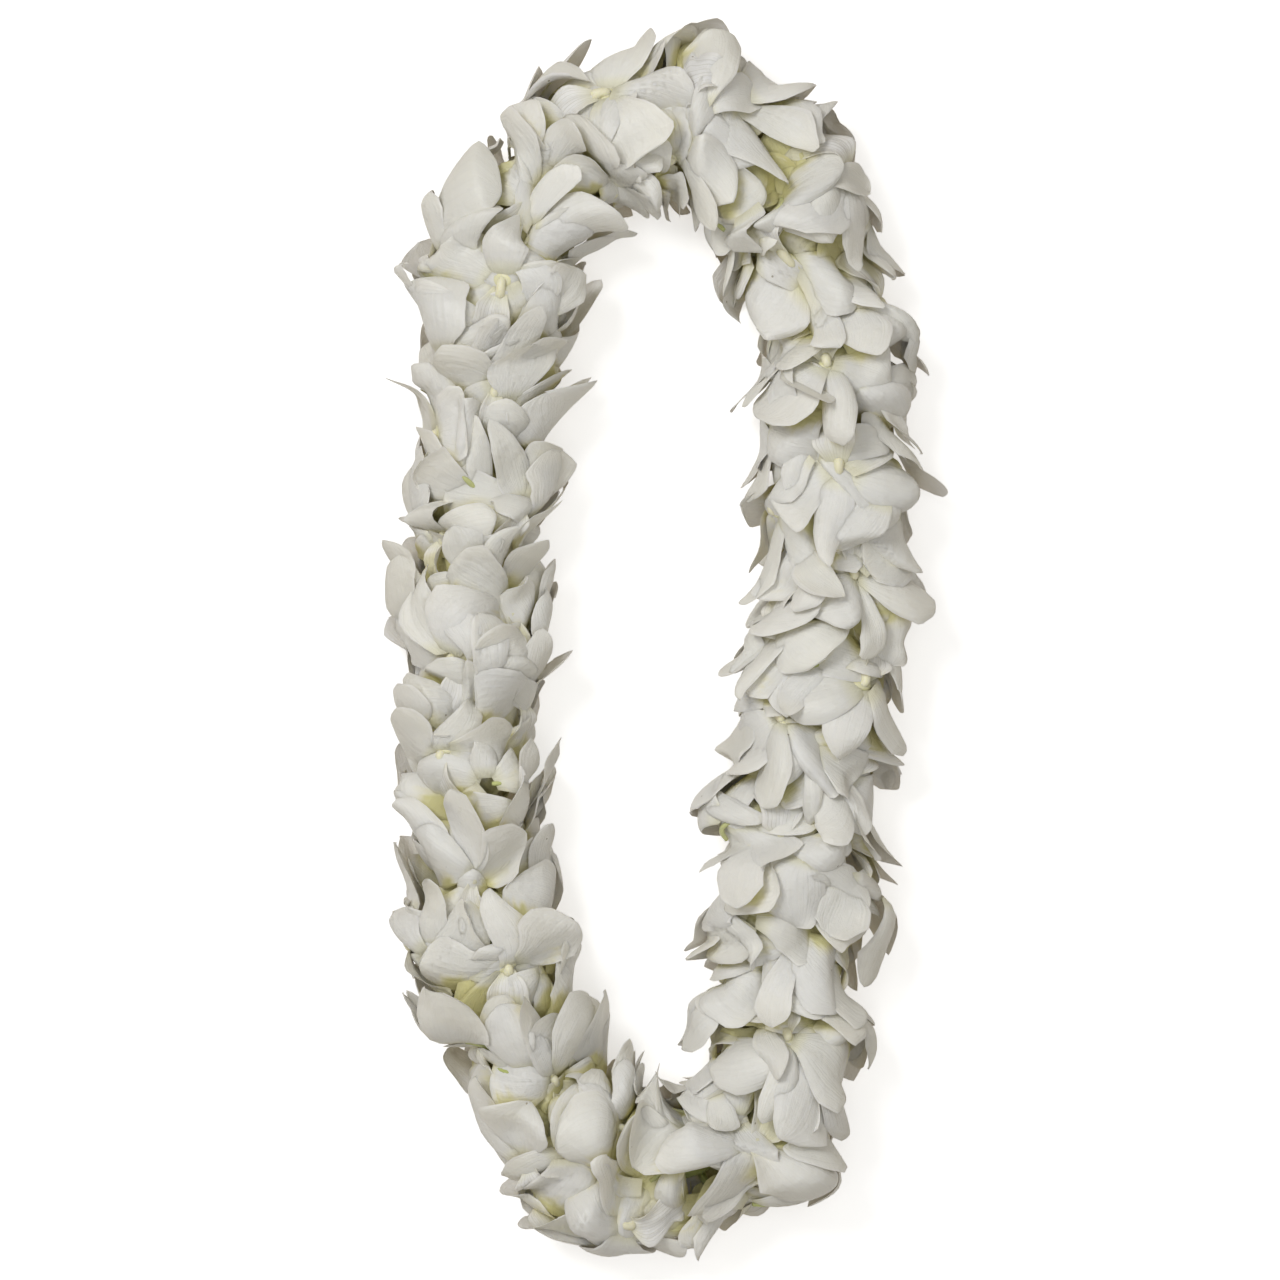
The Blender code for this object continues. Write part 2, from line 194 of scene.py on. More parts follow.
# How much a blade may be stretched where it is laid, and how it is drawn in beyond that.
LONGEST = 1.08
LIMIT_ROUNDS = 2
LIMIT_EASE = 0.8

# Waves of a blade's outline: how deep, how many along it, and how far the two margins are out of step.
WAVY = (0.08, (0.7, 1.9), 0.31)
NIBBLED = (0.025, (3, 5), 0.23)

# Corners of a petal's outline, with straighter stretches between them.
CORNER_SPANS = ((0.25, 0.5), (0.6, 0.8), (0.88, 0.97))
CORNER_OUT = 1.03
CORNER_SHARE = (0.4, 1.0)

# The lip: side lobes, keels, belly, curled end, fluting and ruffle, in millimetres off the plain sheet. Each
# grows, or the keels fade, between two places along it.
LOBE_MM = (3.0, 5.5)
LOBE_AT = (0.25, 0.16)
LOBE_POWER = 1.8
KEELS_AT = (-0.13, 0, 0.13)
KEEL_WIDTH = 0.05
KEEL_MM = 0.8
KEEL_START = (0.05, 0.2)
KEEL_END = (0.5, 0.66)
BELLY_MM = 2.8
LIP_CURL_MM = (-1.5, 2.0)
LIP_CURL_ALONG = (0.5, 1.0)
FLUTE_MM = (0.3, 0.8)
FLUTES = (1.6, 2.4)
FLUTE_ALONG = (0.35, 0.9)
LIP_RUFFLE_MM = (0.7, 1.5)
LIP_RUFFLES = (2.6, 3.6)
LIP_RUFFLE_ALONG = (0.3, 0.6)
LIP_RUFFLE_POWER = 3

# Petals and sepals: cup, arch, twist, ruffle, midrib and rolled rim.
CUPS = {"petal": (-0.20, 0.16), "sepal": (-0.35, 0.35)}
CUP_LEVEL = 0.3
CUP_ALONG = (0.05, 0.5)
ARCH_MM = (-0.3, 1.8)
TWIST_SLOPE = (-0.35, 0.35)
RUFFLE_MM = (0.2, 1.1)
RUFFLES = (0.8, 1.8)
RUFFLE_LAG = 0.3
RUFFLE_ALONG = (0.2, 0.5)
RUFFLE_POWER = 2.5
MIDRIB_MM = (0.25, 0.8)
MIDRIB_WIDTH = 0.09
MIDRIB_FADE = 0.6
RIM_ROLL_MM = (-0.5, 0.6)
RIM_ROLL_ACROSS = (0.8, 1.0)
RIM_ROLL_ALONG = (0.1, 0.4)

# Their creases: where each runs, in shares of length and half width, its slant, and how far it may turn. The
# power of a second draw sets how rare the gentle folds are.
MARGIN_FOLD_ALONG = 0.25
MARGIN_FOLD_ASIDE = (0.0, 0.75)
MARGIN_FOLD_SLANT = (-25, 25)
MARGIN_FOLD_SOFT_MM = (0.5, 1.6)
MARGIN_FOLD_DEGREES = (-75, 40)
TIP_FOLD_ALONG = (0.55, 0.95)
TIP_FOLD_SLANT = (-45, 45)
TIP_FOLD_SOFT_MM = (0.5, 1.8)
TIP_FOLD_DEGREES = (-95, 30)
TIP_FOLD_POWER = 0.5
CORNER_FOLD_ALONG = 0.62
CORNER_FOLD_ASIDE = (-0.5, 0.5)
CORNER_FOLD_SLANT = (30, 75)
CORNER_FOLD_DEGREES = (-70, 30)
FOLD_POWER = 0.6
CREASE_SOFT = 0.8 * MM
DENT_ALONG = (0.3, 0.7)
DENT_ASIDE = (-0.6, 0.6)
DENT_DEGREES = (-16, 16)

# The drift that all blooms share, so that none lies as evenly as its neighbour: waves round it and along it.
DRIFT_SEED = 56
DRIFT_WAVES = 16
DRIFT_ALONG = (7, 22)
DRIFT_ROUND = 3
DRIFT_OUT = 3.7 * MM
DRIFT_FORWARD = 2.8 * MM
DRIFT_TURN = math.radians(6.5)
DRIFT_FROM = (6 * MM, 18 * MM)
DRIFT_UPWARD = (-0.3, 0.7)
DRIFT_BELOW = 0.3

# For working out directions: one that no tube runs along, and the length that counts as none.
OFF_EVERY_TUBE = (0.13, 0.21, 0.97)
NO_LENGTH = 1e-12


def curve(points, x):
    """A smooth curve through points, read at x."""
    at, value = np.array(points, dtype=float).T
    slope = np.gradient(value, at)
    index = np.clip(np.searchsorted(at, x, side="right") - 1, 0, len(at) - 2)
    step = at[index + 1] - at[index]
    t = (x - at[index]) / step
    rise = t * t * (3 - 2 * t)
    return (value[index] * (1 - rise) + value[index + 1] * rise
            + step * (slope[index] * t * (1 - t) ** 2 - slope[index + 1] * t * t * (1 - t)))


def smooth_step(low, high, x):
    t = np.clip((x - low) / (high - low), 0, 1)
    return t * t * (3 - 2 * t)


def bump_at(middle, width, x):
    """1 at the middle, and nothing a few widths away."""
    return np.exp(-((x - middle) / width) ** 2)


def cornered(along, margin, detail):
    """A blade's outline with part of its curve drawn straight between a few corners on each side."""
    margin = margin.copy()
    along = along[:, 0]
    left, right = np.array_split(np.arange(margin.shape[1]), 2)
    for columns in (left, right):
        corners = [along[0]] + [detail.uniform(*span) for span in CORNER_SPANS] + [along[-1]]
        curved = margin[:, columns[0]].copy()
        straight = CORNER_OUT * np.interp(along, corners, np.interp(corners, along, curved))
        margin[:, columns] += (straight - curved)[:, None] * detail.uniform(*CORNER_SHARE)
    return margin


def fold(x, y, through, slant, softness):
    """How far points lie beyond a slanting line, with the fold along it rounded off."""
    beyond = (x - through[0]) * math.cos(slant) + (y - through[1]) * math.sin(slant)
    return softness * np.logaddexp(0, beyond / softness)


def turn_beyond(moved, x, y, through, slant, softness, degrees):
    """Turn what lies beyond a slanting line up or down, as a crease does, keeping its length."""
    beyond = fold(x, y, through, slant, softness)
    shorter = (math.cos(math.radians(degrees)) - 1) * beyond
    ahead, aside, off = moved
    return (ahead + shorter * math.cos(slant), aside + shorter * math.sin(slant),
            off + math.sin(math.radians(degrees)) * beyond)


def smooth_route():
    """Points at even steps round the closed string, as an array, and the string's length."""
    corners = (np.array(ROUTE_MM) + TO_MIDDLE_MM) * MM
    count = len(corners)
    place = np.arange(ROUTE_STEPS) / ROUTE_STEPS * count
    index = np.floor(place).astype(int)
    t = (place - index)[:, None]
    before, start, end, after = (corners[(index + k) % count] for k in (-1, 0, 1, 2))
    points = 0.5 * (2 * start + (end - before) * t
                    + (2 * before - 5 * start + 4 * end - after) * t ** 2
                    + (3 * start - before - 3 * end + after) * t ** 3)
    window = range(-ROUTE_SMOOTHING, ROUTE_SMOOTHING + 1)
    for _ in range(ROUTE_PASSES):
        points = sum(np.roll(points, shift, axis=0) for shift in window) / len(window)
    steps = np.linalg.norm(np.roll(points, -1, axis=0) - points, axis=1)
    travelled = np.concatenate([[0.0], np.cumsum(steps)])
    length = travelled[-1]
    even = np.arange(ROUTE_STEPS) / ROUTE_STEPS * length
    closed = np.vstack([points, points[:1]])
    return np.stack([np.interp(even, travelled, closed[:, k]) for k in (0, 1)], axis=1), length


ROUTE, LENGTH = smooth_route()
STEP = LENGTH / ROUTE_STEPS
TANGENT = np.roll(ROUTE, -1, axis=0) - np.roll(ROUTE, 1, axis=0)
TANGENT /= np.linalg.norm(TANGENT, axis=1)[:, None]


def route_value(table, s):
    """A table's values at s, between the two nearest steps of the route."""
    place = (np.asarray(s) / STEP) % ROUTE_STEPS
    index = np.floor(place).astype(int)
    part = place - index
    if table.ndim == 2:
        part = part[..., None]
    return table[index % ROUTE_STEPS] * (1 - part) + table[(index + 1) % ROUTE_STEPS] * part


def bend_table():
    """How sharply the route turns clockwise, in radians a metre, averaged over a short run."""
    heading = np.unwrap(np.arctan2(TANGENT[:, 1], TANGENT[:, 0]))
    reach = int(BEND_REACH / STEP)
    ahead = np.roll(heading, -reach)
    behind = np.roll(heading, reach)
    turn = (behind - ahead + math.pi) % (2 * math.pi) - math.pi
    return turn / (2 * reach * STEP)


BEND = bend_table()


def find_swells():
    """Each reach as a place along the string, a side of it and a height above the even tube."""
    found = []
    for x, y in REACHES_MM:
        away = (np.array((x, y)) + TO_MIDDLE_MM) * MM - ROUTE
        distance = np.linalg.norm(away, axis=1)
        index = int(np.argmin(distance))
        tangent = TANGENT[index]
        outside = -tangent[1] * away[index][0] + tangent[0] * away[index][1] > 0
        side = SWELL_SIDE if outside else -SWELL_SIDE
        found.append((index * STEP, side, distance[index] - EVEN_RADIUS))
    return found


SWELLS = find_swells()


def swell(s, azimuth):
    """How far the blooms near a place stand out from the even tube."""
    most = np.zeros(np.shape(s))
    for where, side, height in SWELLS:
        along = (s - where + LENGTH / 2) % LENGTH - LENGTH / 2
        round_it = (azimuth - side + math.pi) % math.tau - math.pi
        spread = (along / SWELL_RUN) ** 2 + (round_it / SWELL_TURN) ** 2
        most = np.maximum(most, height * np.exp(-spread))
    return most


def settle(z):
    """Press the underside of the lei gently onto the surface."""
    drop = np.maximum(SQUASH_BELOW - z, 0)
    rate = -LOWEST_FREE / (SQUASH_BELOW - LOWEST_FREE) ** 2
    return z + rate * drop ** 2


def drift_waves(seed):
    """Waves that fit a whole number of times along the lei and round it."""
    draw = random.Random(seed)
    return [(draw.randint(*DRIFT_ALONG), draw.randint(-DRIFT_ROUND, DRIFT_ROUND), draw.uniform(0, math.tau))
            for _ in range(DRIFT_WAVES)]


DRIFTS = [drift_waves(DRIFT_SEED + k) for k in range(3)]


def wave_sum(waves, s, azimuth):
    total = sum(np.cos(math.tau * along * s / LENGTH + round_it * azimuth + phase)
                for along, round_it, phase in waves)
    return total / math.sqrt(len(waves) / 2)


def adrift(s, r, azimuth):
    """The point moved with the drift: none near the string, and less on the sides and underneath."""
    reach = smooth_step(*DRIFT_FROM, r)
    upward = DRIFT_BELOW + (1 - DRIFT_BELOW) * smooth_step(*DRIFT_UPWARD, np.cos(azimuth))
    out, forward, turn = (wave_sum(waves, s, azimuth) * reach for waves in DRIFTS)
    return s + forward * DRIFT_FORWARD, r + out * DRIFT_OUT * upward, azimuth + turn * DRIFT_TURN * upward


def place(s, r, azimuth):
    """Points of the lei's own coordinates in world space."""
    s, r, azimuth = np.broadcast_arrays(s, r, azimuth)
    centre = route_value(ROUTE, s)
    tangent = route_value(TANGENT, s)
    tangent = tangent / np.linalg.norm(tangent, axis=-1)[..., None]
    side = r * np.sin(azimuth)
    x = centre[..., 0] - tangent[..., 1] * side
    y = centre[..., 1] + tangent[..., 0] * side
    return np.stack([x, y, settle(TUBE_HEIGHT + r * np.cos(azimuth))], axis=-1)


# What is painted on each vertex: its place along and across a blade, how near the margin it is, whether it
# is on a lip, the blade's own tint, whether it is on the back, and how deep it lies under other petals, for
# the painted shade.
PAINTED = ("along", "across", "rim", "lip", "tint", "back", "shade_depth")


class Shape:
    """Vertices, faces and painted values of a piece, gathered sheet by sheet."""

    def __init__(self):
        self.verts = []
        self.faces = []
        self.values = {name: [] for name in PAINTED}
        self.spots = []
        self.on_rim = []
        self.count = 0

    def add(self, verts, faces, spots=None, on_rim=False, **values):
        self.verts.append(verts)
        self.faces.append(faces + self.count)
        self.count += len(verts)
        self.spots.append(np.zeros((len(verts), 3)) if spots is None else spots)
        self.on_rim.append(np.broadcast_to(on_rim, len(verts)))
        for name, stored in self.values.items():
            stored.append(np.broadcast_to(values.get(name, 0.0), len(verts)).astype(np.float32))

    def make(self, name, material, node):
        verts = np.concatenate(self.verts)
        faces = np.concatenate(self.faces)
        mesh = bpy.data.meshes.new(name)
        mesh.vertices.add(len(verts))
        mesh.vertices.foreach_set("co", verts.astype(np.float32).ravel())
        mesh.loops.add(faces.size)
        mesh.loops.foreach_set("vertex_index", faces.astype(np.int32).ravel())
        mesh.polygons.add(len(faces))
        mesh.polygons.foreach_set("loop_start", np.arange(0, faces.size, faces.shape[1], dtype=np.int32))
        mesh.update(calc_edges=True)
        mesh.validate()
        mesh.shade_smooth()
        for value_name, stored in self.values.items():
            layer = mesh.attributes.new(value_name, "FLOAT", "POINT")
            layer.data.foreach_set("value", np.concatenate(stored))
        ends = np.empty(len(mesh.edges) * 2, dtype=np.int32)
        mesh.edges.foreach_get("vertices", ends)
        sharp = mesh.attributes.new("sharp_edge", "BOOLEAN", "EDGE")
        sharp.data.foreach_set("value", np.concatenate(self.on_rim)[ends.reshape(-1, 2)].all(axis=1))
        mesh.materials.append(material)
        piece = bpy.data.objects.new(name, mesh)
        bpy.context.scene.collection.objects.link(piece)
        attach(piece, "root")
        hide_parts(node)
        return piece


def grid_faces(rows, columns, wrap=False):
    """Quads of a grid of points, row by row, as vertex numbers."""
    index = np.arange(rows * columns).reshape(rows, columns)
    if wrap:
        index = np.hstack([index, index[:, :1]])
    return np.stack([index[:-1, :-1], index[:-1, 1:], index[1:, 1:], index[1:, :-1]], axis=-1).reshape(-1, 4)


def cap_faces(sides, first):
    """Quads that close a ring of an even number of points, numbered from first."""
    return np.array([(k, k + 1, sides - 2 - k, sides - 1 - k) for k in range(sides // 2 - 1)]) + first


def tube_faces(rows, sides):
    """Quads of a tube of rings, with a cap at each end."""
    last = (rows - 1) * sides
    return np.concatenate([grid_faces(rows, sides, wrap=True), cap_faces(sides, 0)[:, ::-1],
                           cap_faces(sides, last)])


def ring_tube(shape, centres, radius, sides, closed, **values):
    """Add a tube of round rings along a line of points."""
    ahead = np.roll(centres, -1, axis=0)
    behind = np.roll(centres, 1, axis=0)
    if not closed:
        ahead[-1] = centres[-1]
        behind[0] = centres[0]
    tangent = ahead - behind
    tangent /= np.linalg.norm(tangent, axis=1)[:, None]
    side = np.cross(tangent, OFF_EVERY_TUBE)
    side /= np.linalg.norm(side, axis=1)[:, None]
    up = np.cross(side, tangent)
    turn = np.linspace(0, math.tau, sides, endpoint=False)[None, :, None]
    radius = np.broadcast_to(radius, len(centres))[:, None, None]
    rings = centres[:, None] + radius * (np.cos(turn) * side[:, None] + np.sin(turn) * up[:, None])
    verts = rings.reshape(-1, 3)
    if closed:
        faces = grid_faces(len(rings) + 1, sides, wrap=True) % len(verts)
    else:
        faces = tube_faces(len(rings), sides)
    shape.add(verts, faces, **values)


def normals_of(points):
    """Unit normals of a grid of points."""
    down = np.gradient(points, axis=0)
    over = np.gradient(points, axis=1)
    normal = np.cross(over, down)
    size = np.linalg.norm(normal, axis=-1)[..., None]
    return normal / np.maximum(size, NO_LENGTH)


def add_blade(shape, middle, thick, along, across, rim, spots, **values):
    """A closed blade round a grid of mid-surface points: two sheets that share their rim."""
    rows, columns = middle.shape[:2]
    normal = normals_of(middle)
    offset = normal * thick[..., None] / 2
    front = middle + offset
    back = middle - offset
    inside = np.zeros((rows, columns), dtype=bool)
    inside[1:-1, 1:-1] = True
    numbers = np.arange(rows * columns).reshape(rows, columns)
    back_numbers = numbers.copy()
    back_numbers[inside] = rows * columns + np.arange(inside.sum())
    verts = np.concatenate([front.reshape(-1, 3), back[inside]])
    faces = grid_faces(rows, columns)
    back_faces = back_numbers.ravel()[faces][:, ::-1]
    both = {name: np.concatenate([value.ravel(), value[inside]])
            for name, value in (("along", along), ("across", across), ("rim", rim))}
    is_back = np.concatenate([np.zeros(rows * columns), np.ones(int(inside.sum()))])
    on_rim = np.concatenate([~inside.ravel(), np.zeros(int(inside.sum()), dtype=bool)])
    spots = np.concatenate([spots.reshape(-1, 3), spots[inside]])
    shape.add(verts, np.concatenate([faces, back_faces]), spots, on_rim, back=is_back, **both, **values)


def cover_cell(spots):
    """The cell of the lei's surface that each place (s, r, azimuth) lies in or under."""
    along = (spots[:, 0] % LENGTH / LENGTH * COVER_CELLS[0]).astype(int) % COVER_CELLS[0]
    around = (spots[:, 2] % math.tau / math.tau * COVER_CELLS[1]).astype(int) % COVER_CELLS[1]
    return along, around


def cover_radius(spots):
    """The outermost radius in each cell, evened out with its neighbours."""
    cover = np.full(COVER_CELLS, THROAT_RADIUS)
    np.maximum.at(cover, cover_cell(spots), spots[:, 1])
    for _ in range(COVER_PASSES):
        beside = sum(np.roll(cover, step, axis) for axis in (0, 1) for step in (-1, 1))
        cover = (2 * cover + beside) / 6
    return cover


def lip_form(x, u, v, detail):
    """How far the lip stands off its plain sheet: raised side lobes, three keels and a ruffled margin."""
    edge = np.abs(v)
    side = np.sign(v)
    off = detail.uniform(*LOBE_MM) * MM * edge ** LOBE_POWER * bump_at(*LOBE_AT, x)
    for keel in KEELS_AT:
        run = smooth_step(*KEEL_START, x) * (1 - smooth_step(*KEEL_END, x))
        off = off + KEEL_MM * MM * bump_at(keel, KEEL_WIDTH, v) * run
    off = off + BELLY_MM * MM * np.sin(math.pi * u)
    off = off - detail.uniform(*LIP_CURL_MM) * MM * smooth_step(*LIP_CURL_ALONG, u)
    fluting = np.sin(math.tau * (detail.uniform(*FLUTES) * v + detail.random()))
    off = off + detail.uniform(*FLUTE_MM) * MM * fluting * smooth_step(*FLUTE_ALONG, x)
    ruffle = np.sin(math.tau * (detail.uniform(*LIP_RUFFLES) * x + detail.random() * side))
    off = off + (detail.uniform(*LIP_RUFFLE_MM) * MM * edge ** LIP_RUFFLE_POWER * ruffle
                 * smooth_step(*LIP_RUFFLE_ALONG, x))
    return 0 * off, 0 * off, off


def tepal_form(kind, u, v, across, out, width, detail):
    """How far a petal or sepal leaves its plain sheet: cup, folds, curled tip, waves and midrib."""
    edge = np.abs(v)
    side = np.sign(v)
    reach = out[-1, 0]
    wide = float(width.max())
    cup = detail.uniform(*CUPS[kind])
    off = detail.uniform(*ARCH_MM) * MM * np.sin(math.pi * u)
    off = off + cup * width * (v ** 2 - CUP_LEVEL) * smooth_step(*CUP_ALONG, u)
    off = off + detail.uniform(*TWIST_SLOPE) * across * u ** 2
    ruffle = np.sin(math.tau * (detail.uniform(*RUFFLES) * u + detail.random() + RUFFLE_LAG * side))
    off = off + (detail.uniform(*RUFFLE_MM) * MM * edge ** RUFFLE_POWER * ruffle
                 * smooth_step(*RUFFLE_ALONG, u))
    off = off - detail.uniform(*MIDRIB_MM) * MM * bump_at(0, MIDRIB_WIDTH, v) * (1 - MIDRIB_FADE * u)
    off = off - (detail.uniform(*RIM_ROLL_MM) * MM * smooth_step(*RIM_ROLL_ACROSS, edge)
                 * smooth_step(*RIM_ROLL_ALONG, u))
    moved = (0 * across, 0 * across, off)
    for margin in (-1, 1):
        through = (MARGIN_FOLD_ALONG * reach, margin * detail.uniform(*MARGIN_FOLD_ASIDE) * wide)
        slant = math.radians(margin * 90 + detail.uniform(*MARGIN_FOLD_SLANT))
        softness = detail.uniform(*MARGIN_FOLD_SOFT_MM) * MM
        degrees = detail.uniform(*MARGIN_FOLD_DEGREES) * detail.random() ** FOLD_POWER
        moved = turn_beyond(moved, out, across, through, slant, softness, degrees)
    through = (detail.uniform(*TIP_FOLD_ALONG) * reach, 0)
    slant = math.radians(detail.uniform(*TIP_FOLD_SLANT))
    softness = detail.uniform(*TIP_FOLD_SOFT_MM) * MM
    degrees = detail.uniform(*TIP_FOLD_DEGREES) * detail.random() ** TIP_FOLD_POWER
    moved = turn_beyond(moved, out, across, through, slant, softness, degrees)
    through = (CORNER_FOLD_ALONG * reach, detail.choice(CORNER_FOLD_ASIDE) * wide)
    slant = math.radians(detail.uniform(*CORNER_FOLD_SLANT)) * detail.choice((-1, 1))
    degrees = detail.uniform(*CORNER_FOLD_DEGREES) * detail.random() ** FOLD_POWER
    moved = turn_beyond(moved, out, across, through, slant, CREASE_SOFT, degrees)
    through = (detail.uniform(*DENT_ALONG) * reach, detail.uniform(*DENT_ASIDE) * wide)
    slant = detail.uniform(0, math.tau)
    return turn_beyond(moved, out, across, through, slant, CREASE_SOFT, detail.uniform(*DENT_DEGREES))


class Bloom:
    """One bloom's place on the string, and its own small differences."""

    def __init__(self, s, azimuth, draw):
        self.s = s
        self.azimuth = azimuth
        self.twist = draw.uniform(-TWIST_JITTER, TWIST_JITTER)
        self.size = 1 + draw.uniform(-SIZE_JITTER, SIZE_JITTER)
        self.lean = draw.uniform(-LEAN_JITTER, LEAN_JITTER)
        self.lifts = {name: [draw.uniform(*LIFT_JITTER) for _ in range(3)] for name in TEPALS}
        self.waves = {name: draw.uniform(-WAVE_JITTER, WAVE_JITTER) for name in TEPALS}

    def lei_point(self, forward, sideways, off):
        """Places in the lei's coordinates of points given along the string, round it and off the surface."""
        side_angle = sideways / THROAT_RADIUS
        across = np.sin(self.azimuth + side_angle)
        stretch = np.maximum(LEAST_STRETCH, 1 + route_value(BEND, self.s) * THROAT_RADIUS * across)
        run = forward / stretch
        r = np.maximum(THROAT_RADIUS + SHINGLE_SLOPE * run + self.lean * sideways + off, LEAST_RADIUS)
        turn = sideways / r
        limit = np.interp(run, WRAP_CHANGE, (WRAP_BEHIND, WRAP_AHEAD))
        turn = turn / (1 + (np.abs(turn) / limit) ** WRAP_SHARPNESS) ** (1 / WRAP_SHARPNESS)
        s = self.s + run
        azimuth = self.azimuth + turn
        return adrift(s, r + swell(s, azimuth), azimuth)

    def point(self, forward, sideways, off):
        return place(*self.lei_point(forward, sideways, off))

    def outline(self, kind, x, u, v, detail):
        """A blade's half width along it, and how far aside its points lie: waves, nibbles and corners."""
        _, _, half, blunt, pointed, range_of_points = KINDS[kind]
        side = np.sign(v)
        left_point = detail.uniform(*range_of_points)
        right_point = detail.uniform(*range_of_points)
        pointed_share = np.where(side < 0, left_point, right_point)
        shares = curve(blunt, x) + (curve(pointed, x) - curve(blunt, x)) * pointed_share
        uneven = 1.0
        for depth, count, lag in (WAVY, NIBBLED):
            phase = detail.uniform(*count) * x + detail.random() + lag * side
            uneven = uneven + depth * np.sin(math.tau * phase)
        width = shares * half * self.size * detail.uniform(*WIDTH_SHARE)
        if kind != "lip":
            uneven = cornered(u, width * uneven, detail) / width
        return width, v * width * uneven

    def sheet(self, name, u, v):
        """How far a blade's plain sheet lies off the shingle, with the pit at its root."""
        offs = TEPALS[name][3]
        levels = [0.0] + [off * MM + lift for off, lift in zip(offs, self.lifts[name])]
        off = curve(list(zip(ROW_AT, levels)), u)
        off = off + v * curve(list(zip(ROW_AT, ROW_WAVES)), u) * self.waves[name]
        return off - PIT * (1 - smooth_step(*PIT_ALONG, u))

    def lay(self, out, aside, off, droop, heading, longest, broadest):
        """Lay a blade's points on the lei, drawn in where that would stretch it, as places and as points."""
        shorter = 1.0
        narrower = 1.0
        rows, columns = out.shape
        for _ in range(LIMIT_ROUNDS):
            on = out * shorter
            sway = aside * narrower
            forward = on * math.cos(heading) - sway * math.sin(heading)
            sideways = on * math.sin(heading) + sway * math.cos(heading)
            topmost = smooth_step(*DROOP_SIDES, np.cos(self.azimuth + sideways / THROAT_RADIUS))
            s, r, azimuth = self.lei_point(forward, sideways, off - droop * topmost)
            middle = place(s, r, azimuth)
            run = np.linalg.norm(np.diff(middle[:, columns // 2], axis=0), axis=1).sum()
            breadth = np.linalg.norm(np.diff(middle[rows // 3], axis=0), axis=1).sum()
            shorter *= min(1.0, longest / run) ** LIMIT_EASE
            narrower *= min(1.0, broadest / breadth) ** LIMIT_EASE
        return np.stack([s, r, azimuth], axis=-1), middle

    def blade(self, shape, name, detail):
        """Add one tepal: a thin curved blade with its own outline, folds, curl, waves and crease."""
        notch_before, notch_after, length, _ = TEPALS[name]
        kind = name.split("_")[0] if name in ("lip", "petal_left", "petal_right") else "sepal"
        rows, columns = KINDS[kind][:2]
        heading = math.radians(notch_before + notch_after) / 2 + self.twist
        heading += math.radians(detail.uniform(*HEADING_DEGREES))
        notch = NOTCH_RADIUS * math.cos(math.radians(notch_after - notch_before) / 2)
        reach = length * detail.uniform(*LENGTH_SHARE) * MM * self.size + notch - ROOT_RADIUS
        x = np.linspace(0, 1, rows)[:, None]
        v = np.sin(np.linspace(-1, 1, columns) * MARGIN_BUNCH)[None, :] / math.sin(MARGIN_BUNCH)
        u = np.sin(x * math.pi / 2)
        edge = np.abs(v)
        width, across = self.outline(kind, x, u, v, detail)
        out = ROOT_RADIUS + u * reach
        if kind == "lip":
            ahead, aside, lifted = lip_form(x, u, v, detail)
        else:
            ahead, aside, lifted = tepal_form(kind, u, v, across, out, width, detail)
        bend = detail.uniform(*SIDEWAYS_BEND) * reach * u ** 2
        droop = detail.uniform(*DROOP) * u ** 2 * float(kind != "lip")
        spots, middle = self.lay(out + ahead, across + aside + bend, self.sheet(name, u, v) + lifted, droop,
                                 heading, LONGEST * reach, LONGEST * np.ptp(across[rows // 3]))
        middle[..., 2] = np.maximum(middle[..., 2], FLOOR_CLEAR)
        thick = THICKNESS * (1 - TIP_THINNING * u) * (1 - MARGIN_THINNING * edge ** 2)
        full = np.ones((rows, columns))
        rim = np.maximum(edge * full, smooth_step(RIM_FROM, 1.0, x) * full)
        add_blade(shape, middle, thick * full, x * full, v * full, rim, spots,
                  lip=float(name == "lip"), tint=detail.random())

    def tube(self, shape, stations, lean, sides, **values):
        """Add a closed tube: each station is (forward, off, radius along, radius across), in millimetres."""
        turn = np.linspace(0, math.tau, sides, endpoint=False)[None, :]
        forward, off, along_radius, across_radius = np.array(stations).T[:, :, None] * MM
        points = self.point(forward + along_radius * np.cos(turn), lean + across_radius * np.sin(turn),
                            off + 0 * turn)
        rows = len(stations)
        along = np.repeat(np.linspace(0, 1, rows), sides)
        shape.add(points.reshape(-1, 3), tube_faces(rows, sides), along=along, **values)

    def heart(self, shape, detail):
        """Add the column with its cap, and the neck down to the string."""
        tint = detail.random()
        lean = detail.uniform(-COLUMN_LEAN_MM, COLUMN_LEAN_MM) * MM
        forward, off, radius = np.array(COLUMN_MM).T * MM
        centres = self.point(forward, lean * np.linspace(0, 1, len(radius)), off)
        ring_tube(shape, centres, radius, COLUMN_SIDES, False, tint=tint)
        self.tube(shape, CAP_MM, lean, CAP_SIDES, lip=1.0, tint=tint)
        self.tube(shape, NECK_MM, 0.0, COLUMN_SIDES, back=1.0, tint=tint)

    def stalk(self, shape, detail):
        """Add the short green stalk of a crushed bloom, lying on the shingle between two layers."""
        heading = detail.uniform(0, math.tau)
        out = np.linspace(STALK_START, STALK_LENGTH, STALK_STEPS)
        arch = np.sin(math.pi * np.linspace(0, 1, STALK_STEPS))
        off = STALK_DEPTH * (arch - 1)
        bend = detail.uniform(-STALK_BEND, STALK_BEND) * out ** 2 / STALK_LENGTH
        centres = self.point(out * math.cos(heading) - bend * math.sin(heading),
                             out * math.sin(heading) + bend * math.cos(heading), off)
        radius = STALK_RADIUS * (STALK_ENDS + (1 - STALK_ENDS) * arch)
        ring_tube(shape, centres, radius, STALK_SIDES, False, along=detail.uniform(*STALK_GREEN), back=1.0)


def new_material(name):
    material = bpy.data.materials.new(name)
    material.use_nodes = True
    return material, material.node_tree


